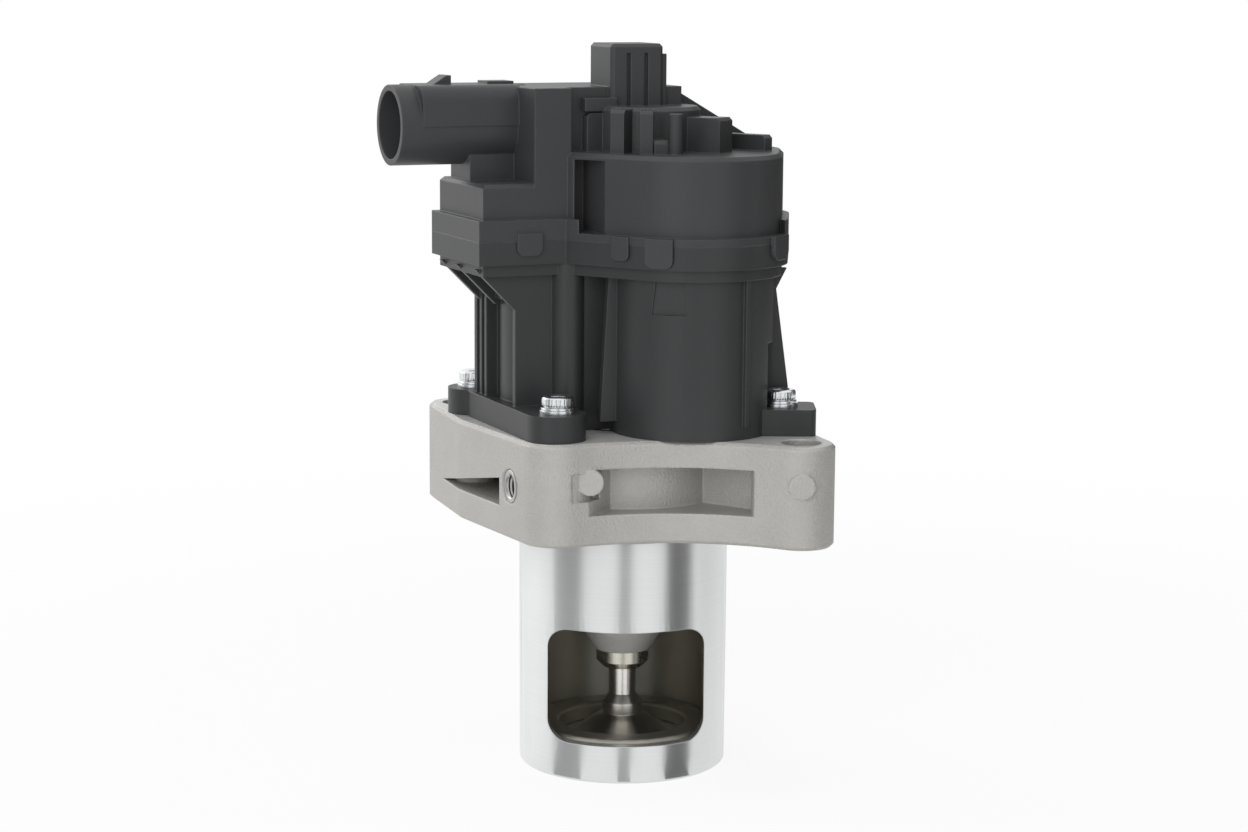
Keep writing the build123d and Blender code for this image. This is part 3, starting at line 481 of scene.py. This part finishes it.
lathe_rings = build_lathe_rings()
print(lathe_rings.name, len(lathe_rings.nodes), "nodes")

# %% [markdown]
# The edges of a part are painted lighter: a painted highlight, as a rounded edge catches the light,
# and partly the uneven wear of handling. A Bevel node in the material gives a normal that is
# rounded near an edge only. Where that normal leaves the face's own normal, there is an edge, and a
# broken noise decides how much of it is painted lighter.

# %% Worn edges
# Scale, spread and steepness of the painted lighter edges: painted highlight, broken like wear.
wear_and_highlight_scale, wear_and_highlight_spread = 160.0, 1.4
wear_and_highlight_steepness = 5.0


def build_edge_highlight_and_wear():
    """A colour painted lighter where the rounded normal leaves the face's own normal: painted
    highlight, partly wear.
    """
    group, given, out = new_group(
        "edge_highlight_and_wear",
        [grey_socket, ("Rounded", "NodeSocketVector", None), ("Lift", "NodeSocketFloat", 0.5)],
        [("Color", "NodeSocketColor")])
    along = group.nodes.new("ShaderNodeVectorMath")
    along.operation = "DOT_PRODUCT"
    group.links.new(group.nodes.new("ShaderNodeNewGeometry").outputs["Normal"], along.inputs[0])
    group.links.new(given.outputs["Rounded"], along.inputs[1])
    away = math_node(group, "SUBTRACT", 1.0, along.outputs["Value"])
    place = group.nodes.new("ShaderNodeTexCoord").outputs["Object"]
    patches = noise(group, place, wear_and_highlight_scale, detail=4.0, roughness=0.7)
    broken = math_node(group, "MULTIPLY", patches, wear_and_highlight_spread)
    share = math_node(group, "MULTIPLY", math_node(group, "MULTIPLY", away, wear_and_highlight_steepness), broken)
    limit = group.nodes.new("ShaderNodeClamp")
    group.links.new(share, limit.inputs["Value"])
    lift = math_node(group, "MULTIPLY", limit.outputs[0], given.outputs["Lift"])
    factor = math_node(group, "ADD", lift, 1.0)
    group.links.new(scaled_colour(group, given.outputs["Color"], factor), out.inputs["Color"])
    return group


edge_highlight_and_wear = build_edge_highlight_and_wear()
print(edge_highlight_and_wear.name, len(edge_highlight_and_wear.nodes), "nodes")

# %% [markdown]
# One piece can have two tones. The sleeve is bright outside, and its bore has painted shade, a
# darker colour, and is rougher, as a bored face is. The casting's top face is painted lighter,
# which is painted light from above, and is smoother, as a milled face is. Both zones are simple in
# the part's own coordinates: within a radius about the stem's axis, or above a height.

# %% Zones of painted shade and painted light


def build_painted_shade_light_zone():
    """A mask that is one inside a radius about the stem's axis or above a height: painted shade in
    the bore, painted light on top.
    """
    group, given, out = new_group(
        "painted_shade_light_zone",
        [grey_socket, ("Roughness", "NodeSocketFloat", 0.5),
         ("Zone Color", "NodeSocketColor", (0.5, 0.5, 0.5, 1)),
         ("Zone Roughness", "NodeSocketFloat", 0.5),
         ("Inside Radius", "NodeSocketFloat", 0.0), ("Above Height", "NodeSocketFloat", 1.0)],
        [("Color", "NodeSocketColor"), ("Roughness", "NodeSocketFloat")])
    place = group.nodes.new("ShaderNodeTexCoord").outputs["Object"]
    parts = group.nodes.new("ShaderNodeSeparateXYZ")
    group.links.new(place, parts.inputs[0])
    across = [parts.outputs["X"], parts.outputs["Y"]]
    squares = [math_node(group, "MULTIPLY", axis, axis) for axis in across]
    radius = math_node(group, "SQRT", math_node(group, "ADD", *squares), 0.0)
    inside = math_node(group, "LESS_THAN", radius, given.outputs["Inside Radius"])
    above = math_node(group, "GREATER_THAN", parts.outputs["Z"], given.outputs["Above Height"])
    mask = math_node(group, "MAXIMUM", inside, above)
    colour = group.nodes.new("ShaderNodeMix")
    colour.data_type = "RGBA"
    group.links.new(mask, colour.inputs["Factor"])
    group.links.new(given.outputs["Color"], colour.inputs[6])
    group.links.new(given.outputs["Zone Color"], colour.inputs[7])
    group.links.new(colour.outputs[2], out.inputs["Color"])
    step = math_node(group, "SUBTRACT", given.outputs["Zone Roughness"], given.outputs["Roughness"])
    rough = math_node(group, "MULTIPLY", step, mask)
    rough = math_node(group, "ADD", rough, given.outputs["Roughness"])
    group.links.new(rough, out.inputs["Roughness"])
    return group


painted_shade_light_zone = build_painted_shade_light_zone()
print(painted_shade_light_zone.name, len(painted_shade_light_zone.nodes), "nodes")

# %% [markdown]
# Every finish is one Principled BSDF fed by one of the shared effects. A moulded plastic, a cast
# metal and a turned metal differ in which effect they use, how strong it is and how rough they
# are. The Bevel node also shades the model's sharp edges as if they were rounded, which a moulded
# or cast edge always is, without a change of the mesh.

# %% How a finish is built
bevel_samples = 6


def add_group(tree, effect, settings):
    """A node that places a shared effect in a material, with its own values."""
    node = tree.nodes.new("ShaderNodeGroup")
    node.node_tree = effect
    for label, value in settings.items():
        node.inputs[label].default_value = value
    return node


def finish(name, effect, colour, roughness, settings, bump, metallic=0.0,
           plain=None, edge=0.15, lift=0.3, zone=None):
    """A material whose colour, roughness and bump come from a shared effect. Its edges, sharp in
    the model, are shaded as if rounded by a radius in millimetres, and their colour is painted
    lighter by the given lift: painted highlight, partly wear. A zone has its own colour and
    roughness: painted shade in the sleeve's bore, painted light on the casting's smoother top face."""
    material = bpy.data.materials.new(name)
    material.use_nodes = True
    tree = material.node_tree
    bsdf = tree.nodes["Principled BSDF"]
    skin = add_group(tree, effect, {"Color": (*colour, 1), "Roughness": roughness, **settings})
    rounding = tree.nodes.new("ShaderNodeBevel")
    rounding.samples = bevel_samples
    rounding.inputs["Radius"].default_value = edge * MM
    relief = tree.nodes.new("ShaderNodeBump")
    relief.inputs["Strength"].default_value = bump[0]
    relief.inputs["Distance"].default_value = bump[1] * MM
    tree.links.new(rounding.outputs["Normal"], relief.inputs["Normal"])
    tree.links.new(skin.outputs["Height"], relief.inputs["Height"])
    tone, rough = skin.outputs["Color"], skin.outputs["Roughness"]
    if zone:
        # The zone paints shade in the sleeve's bore or light on the casting's top face, and changes
        # roughness.
        zone_paint = add_group(tree, painted_shade_light_zone, zone)
        tree.links.new(tone, zone_paint.inputs["Color"])
        tree.links.new(rough, zone_paint.inputs["Roughness"])
        tone, rough = zone_paint.outputs["Color"], zone_paint.outputs["Roughness"]
    # The edges' colour is lifted here: painted highlight, partly wear.
    edge_highlight_node = add_group(tree, edge_highlight_and_wear, {"Lift": lift})
    tree.links.new(rounding.outputs["Normal"], edge_highlight_node.inputs["Rounded"])
    tree.links.new(tone, edge_highlight_node.inputs["Color"])
    tree.links.new(edge_highlight_node.outputs["Color"], bsdf.inputs["Base Color"])
    tree.links.new(rough, bsdf.inputs["Roughness"])
    tree.links.new(relief.outputs["Normal"], bsdf.inputs["Normal"])
    bsdf.inputs["Metallic"].default_value = metallic
    for label, value in (plain or {}).items():
        bsdf.inputs[label].default_value = value
    return material


# %% [markdown]
# The first three tables say how fine and how strong an effect is on moulded, cast and turned
# pieces. The others give the two zones, and what the Principled BSDF needs besides: brushed steel
# stretches its reflections along the axis, and the black plastic is a little dull.

# %% Values that finishes share
moulded = {"Grain Scale": 2600.0, "Cloud Scale": 60.0, "Contrast": 0.22, "Spread": 0.16}
cast = {"Grain Scale": 1900.0, "Cloud Scale": 90.0, "Contrast": 0.2, "Spread": 0.2}
turned = {"Ring Scale": 2200.0, "Contrast": 0.1, "Spread": 0.14}

face_depth = 0.05 * MM
flange_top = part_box("flange_casting")[1].z
# Darker colour in the sleeve's bore: painted shade; the higher roughness is a bored face.
bore_painted_shade = {"Zone Color": (0.60, 0.585, 0.53, 1), "Zone Roughness": 0.5,
               "Inside Radius": 20.6 * MM}
# Lighter colour on the casting's top face: painted light from above, partly a milled face, which is
# also smoother.
milled_top_painted_light = {"Zone Color": (0.66, 0.66, 0.645, 1), "Zone Roughness": 0.42,
             "Above Height": flange_top - face_depth}
brushed = {"Anisotropic": 0.85, "Anisotropic Rotation": 0.25}
dull_skin = {"Specular IOR Level": 0.4}
print("the milled face is above", round((flange_top - face_depth) / MM, 2), "mm")

# %% [markdown]
# Each row is one slot of the record: its effect, colour, roughness, bump as strength and depth in
# millimetres, and how metallic it is. Colours are linear values, so black plastic is about 0.035
# and plain steel about 0.6.

# %% Finishes
fine_bump, thin_bump, plain_bump, skin_bump = (0.1, 0.01), (0.2, 0.02), (0.2, 0.03), (0.35, 0.05)

# Where a row lifts its edges, their colour is painted lighter: painted highlight, partly wear.
finishes = {
    "cast_aluminium": finish("cast_aluminium", speckle, (0.49, 0.48, 0.455), 0.52, cast,
                             (0.8, 0.3), 0.4, edge=0.7, lift=0.35, zone=milled_top_painted_light),
    "turned_steel": finish("turned_steel", lathe_rings, (0.78, 0.79, 0.79), 0.36, turned,
                           (0.12, 0.02), 1.0, brushed, lift=0.1, zone=bore_painted_shade),
    "seat_steel": finish("seat_steel", lathe_rings, (0.50, 0.48, 0.43), 0.42, turned,
                         (0.12, 0.02), 1.0),
    "valve_steel": finish("valve_steel", speckle, (0.80, 0.775, 0.735), 0.25, moulded,
                          fine_bump, 1.0),
    "cup_steel": finish("cup_steel", speckle, (0.64, 0.615, 0.54), 0.28, moulded,
                        fine_bump, 1.0),
    "housing_plastic": finish("housing_plastic", speckle, (0.033, 0.034, 0.035), 0.44, moulded,
                              skin_bump, plain=dull_skin, edge=0.4, lift=0.9),
    "cover_plastic": finish("cover_plastic", speckle, (0.042, 0.043, 0.045), 0.44, moulded,
                            skin_bump, plain=dull_skin, edge=0.4, lift=0.9),
    "screw_zinc": finish("screw_zinc", lathe_rings, (0.78, 0.80, 0.81), 0.2, turned,
                         (0.15, 0.02), 1.0),
    "seal_rubber": finish("seal_rubber", speckle, (0.03, 0.03, 0.03), 0.7, moulded, (0.3, 0.05)),
    "bearing_bronze": finish("bearing_bronze", speckle, (0.55, 0.4, 0.22), 0.4, cast,
                             (0.3, 0.03), 1.0),
    "spring_steel": finish("spring_steel", speckle, (0.5, 0.5, 0.5), 0.3, moulded,
                           thin_bump, 1.0),
    "motor_steel": finish("motor_steel", speckle, (0.62, 0.62, 0.6), 0.35, moulded,
                          thin_bump, 1.0),
    "motor_iron": finish("motor_iron", lathe_rings, (0.2, 0.19, 0.18), 0.5, turned,
                         (0.3, 0.05), 0.9),
    "magnet_black": finish("magnet_black", speckle, (0.06, 0.06, 0.06), 0.6, cast, (0.3, 0.04)),
    "pinion_brass": finish("pinion_brass", speckle, (0.7, 0.55, 0.25), 0.3, moulded,
                           thin_bump, 1.0),
    "gear_plastic": finish("gear_plastic", speckle, (0.75, 0.72, 0.62), 0.45, moulded,
                           plain_bump),
    "drum_steel": finish("drum_steel", lathe_rings, (0.48, 0.48, 0.47), 0.3, turned,
                         plain_bump, 1.0),
    "board_green": finish("board_green", speckle, (0.05, 0.22, 0.1), 0.4, moulded, thin_bump),
    "terminal_brass": finish("terminal_brass", speckle, (0.72, 0.66, 0.5), 0.3, moulded,
                             (0.15, 0.02), 1.0),
}
print(len(finishes), "finishes")

# %% [markdown]
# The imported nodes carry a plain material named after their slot. Each gets the finish of that
# name, on the same mesh, so that the CAD pieces keep their exact shape.

# %% Dress the CAD nodes


def slot_of(node):
    """The record's slot that a CAD node's material was packed under."""
    name = frame["nodes"][node].material_slots[0].material.name
    return name.split(".")[0]


dressed = {name: slot_of(name) for name in frame["nodes"]}
for name, slot in dressed.items():
    frame["nodes"][name].material_slots[0].material = finishes[slot]
print("dressed:", dressed)

# %% [markdown]
# A turned edge is broken by the tool, so it catches the light in a thin line. The sleeve and its
# seat are simple enough to be rounded in their mesh: a copy of it is welded, its flat triangles
# are joined into faces, and a Bevel modifier rounds every edge past a set angle. The housings
# have many inner corners, where a modifier tears, so there the material's Bevel node does it.

# %% Rounded copies of the sleeve and its seat
weld_gap = 0.002 * MM
flat_angle = radians(0.6)
sharp_angle = radians(32)
bevel_segments = 2


def rounded_copy(node, radius):
    """The node's mesh, welded and with its edges rounded; it takes the node's place and finish."""
    source = frame["nodes"][node]
    mesh = bpy.data.meshes.new(node + "_rounded")
    shape = bmesh.new()
    shape.from_mesh(source.data)
    bmesh.ops.remove_doubles(shape, verts=shape.verts, dist=weld_gap)
    bmesh.ops.dissolve_degenerate(shape, edges=shape.edges, dist=weld_gap)
    bmesh.ops.dissolve_limit(shape, angle_limit=flat_angle, verts=shape.verts, edges=shape.edges)
    for face in shape.faces:
        face.smooth = True
        face.material_index = 0
    shape.to_mesh(mesh)
    shape.free()
    mesh.set_sharp_from_angle(angle=sharp_angle)
    mesh.materials.append(finishes[dressed[node]])
    piece = bpy.data.objects.new(node + "_rounded", mesh)
    bpy.context.scene.collection.objects.link(piece)
    bevel = piece.modifiers.new("round_edges", "BEVEL")
    bevel.width = radius
    bevel.segments = bevel_segments
    bevel.limit_method = "ANGLE"
    bevel.angle_limit = sharp_angle
    bevel.use_clamp_overlap = False
    bevel.harden_normals = True
    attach(piece, source["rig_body"])
    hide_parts(node)
    print(node, "edges rounded by", round(radius / MM, 2), "mm,", len(mesh.polygons), "faces")
    return piece


edge_radius = {"valve_sleeve": 0.25 * MM, "valve_seat": 0.25 * MM}
for node, radius in edge_radius.items():
    rounded_copy(node, radius)

# %% [markdown]
# Everything that a lathe or a thread roller makes is one kind of surface: a profile carried round
# an axis. The profile is a list of rows, each with a radius and a height, and the radius may change
# with the angle, which gives the knurl of a screw's head and its six-sided socket.

# %% Turned pieces
smooth_angle = radians(40)
merge_gap = 0.001 * MM
knurl_teeth, knurl_depth = 36, 0.012


def turned_points(rows, centre, sides):
    """Points (row, angle) from rows of (radius, height, shape), in millimetres: the radius times
    the shape's own function of the angle, about a centre, and the row's height. A six-sided shape
    divides the cosine of 30 degrees by that of the angle from the nearest side's middle."""
    angle = np.linspace(0, 2 * pi, sides, endpoint=False)
    from_side = np.mod(angle, pi / 3) - pi / 6
    forms = {"round": np.ones(sides), "hex": cos(pi / 6) / np.cos(from_side),
             "knurl": 1 + knurl_depth * np.cos(knurl_teeth * angle)}
    form = np.stack([forms[shape] for radius, height, shape in rows])
    radius = np.array([[row[0] * MM] for row in rows]) * form
    height = np.broadcast_to(np.array([[row[1] * MM] for row in rows]), radius.shape)
    x = centre[0] * MM + radius * np.cos(angle)
    y = centre[1] * MM + radius * np.sin(angle)
    return np.stack([x, y, height], axis=-1)


def closed_piece(name, grids, body, slot, replaced=()):
    """One piece from several closed grids: poles merged, faces pointing outwards, shaded smooth."""
    shape = bmesh.new()
    for number, points in enumerate(grids):
        part = grid_mesh(f"{name}_{number}", points, closed=True)
        shape.from_mesh(part)
        bpy.data.meshes.remove(part)
    bmesh.ops.remove_doubles(shape, verts=shape.verts, dist=merge_gap)
    bmesh.ops.recalc_face_normals(shape, faces=shape.faces)
    for face in shape.faces:
        face.smooth = True
    mesh = bpy.data.meshes.new(name)
    shape.to_mesh(mesh)
    shape.free()
    mesh.set_sharp_from_angle(angle=smooth_angle)
    mesh.materials.append(finishes[slot])
    piece = bpy.data.objects.new(name, mesh)
    bpy.context.scene.collection.objects.link(piece)
    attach(piece, body)
    if replaced:
        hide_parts(*replaced)
    print(name, len(mesh.polygons), "faces")
    return piece


# %% [markdown]
# The housing's screws are zinc plated: a knurled head with a rolled top edge and a six-sided
# socket, and a ring under the head. Each is one profile from the tip to the socket's floor.

# %% Screws
screw_places = [(-22.6, -16.9), (25.8, -24.8), (22.6, 16.9), (-25.8, 24.8)]
washer_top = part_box("screw_washers")[1].z / MM
screw_tip, screw_top = (corner.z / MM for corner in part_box("housing_screws"))
shank_radius, head_radius, ring_radius, socket_radius = 2.08, 3.4, 3.65, 1.55
screw_sides = 144


def screw_rows():
    """Rows (radius, height, shape) of one screw, in millimetres: tip and shank, ring, groove,
    knurled head, rolled edge, and the socket down to the drill's cone."""
    low, top = washer_top, screw_top
    shank = [(0, screw_tip, "round"), (shank_radius - 0.4, screw_tip, "round"),
             (shank_radius, screw_tip + 0.5, "round"), (shank_radius, low, "round")]
    ring = [(ring_radius - 0.15, low, "round"), (ring_radius, low + 0.15, "round"),
            (ring_radius, low + 0.5, "round"), (ring_radius - 0.15, low + 0.62, "round")]
    groove = [(head_radius - 0.5, low + 0.66, "round"), (head_radius - 0.5, low + 0.8, "round")]
    head = [(head_radius - 0.1, low + 0.86, "round"), (head_radius, low + 1.0, "knurl"),
            (head_radius, top - 0.55, "knurl"), (head_radius - 0.12, top - 0.25, "round"),
            (head_radius - 0.4, top - 0.06, "round"), (head_radius - 0.7, top, "round")]
    socket = [(socket_radius + 0.75, top, "round"), (socket_radius + 0.45, top - 0.12, "round"),
              (socket_radius + 0.1, top - 0.3, "hex"), (socket_radius, top - 2.0, "hex"),
              (0.3, top - 2.2, "round"), (0, top - 2.25, "round")]
    return shank + ring + groove + head + socket


screws = [turned_points(screw_rows(), place, screw_sides) for place in screw_places]
closed_piece("plated_screws", screws, "root", "screw_zinc", ("housing_screws",))

# %% [markdown]
# The return spring is round wire wound into a helix whose end turns lie flat. The wire's ring is
# carried along the helix, and it shrinks to a point at both ends, which closes the tube. The spring
# shortens with the valve's travel; here it spans the model's spring from its low to its high end.

# %% Return spring
spring_low, spring_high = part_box("return_spring")
wire_radius = 0.78 * MM
coil_radius = spring_high.x - wire_radius
coil_turns, flat_turn = 4.5, 0.5
spring_steps, wire_sides = 360, 14
end_rounding = 0.7


def spring_points():
    """Grid (step, angle round the wire). The wire's centre turns evenly, and climbs evenly between
    two flat half turns; the ring of the wire stands in the plane of the spring's axis."""
    share = np.concatenate([[0, 0], np.linspace(0, 1, spring_steps), [1, 1]])
    thick = np.ones(len(share))
    thick[[0, -1]] = 0
    thick[[1, -2]] = end_rounding
    turn = 2 * pi * coil_turns * share
    flat = flat_turn / coil_turns
    climb = np.clip((share - flat) / (1 - 2 * flat), 0, 1)
    low, high = spring_low.z + wire_radius, spring_high.z - wire_radius
    ring = np.linspace(0, 2 * pi, wire_sides, endpoint=False)
    radius = coil_radius + wire_radius * thick[:, None] * np.cos(ring)
    z = (low + (high - low) * climb)[:, None] + wire_radius * thick[:, None] * np.sin(ring)
    return np.stack([radius * np.cos(turn)[:, None], radius * np.sin(turn)[:, None], z], axis=-1)


spring = closed_piece("wound_spring", [spring_points()], "root", "spring_steel", ("return_spring",))
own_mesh(spring)

# %% [markdown]
# The port in the flange's side is tapped. Its steel insert shows as a bright ring round a dark,
# threaded bore. The profile runs out along the rim and back in along the thread, whose ridges
# follow a helix: the inner radius swings with the depth minus the angle.

# %% Threaded port
port_place = (-31.0, -10.8, 11.5)
port_bore, port_rim, port_depth = 2.55, 3.55, 8.6
port_floor = port_depth - 0.4
rim_proud, rim_seat = 0.12, 1.3
thread_pitch, thread_depth, thread_start = 0.9, 0.22, 0.5
thread_steps, port_sides = 90, 72


def port_points():
    """Outer wall, rounded rim, threaded bore and floor as one closed profile about the port's
    axis, which runs along X. A row is a radius and a depth; the thread's radius is the bore's
    less a cosine wave of the depth over the pitch, turned on by the angle."""
    angle = np.linspace(0, 2 * pi, port_sides, endpoint=False)
    depth = np.linspace(thread_start, port_floor, thread_steps)[:, None]
    wave = 0.5 - 0.5 * np.cos(2 * pi * depth / thread_pitch - angle)
    thread = port_bore - 0.1 - thread_depth * wave
    outer = np.array([(0, port_depth), (port_bore, port_depth), (port_bore, rim_seat),
                      (port_rim, 0.3), (port_rim, 0.0), (port_rim - 0.15, -rim_proud),
                      (port_bore + 0.25, -rim_proud), (port_bore, 0.05)])
    sides = (len(outer), port_sides)
    radius = np.vstack([np.broadcast_to(outer[:, :1], sides), thread, np.zeros((1, port_sides))])
    down = np.vstack([np.broadcast_to(outer[:, 1:], sides), np.broadcast_to(depth, thread.shape),
                      np.full((1, port_sides), port_floor)])
    x = port_place[0] + down
    y = port_place[1] + radius * np.cos(angle)
    z = port_place[2] + radius * np.sin(angle)
    return np.stack([x, y, z], axis=-1) * MM


closed_piece("port_thread", [port_points()], "root", "drum_steel")
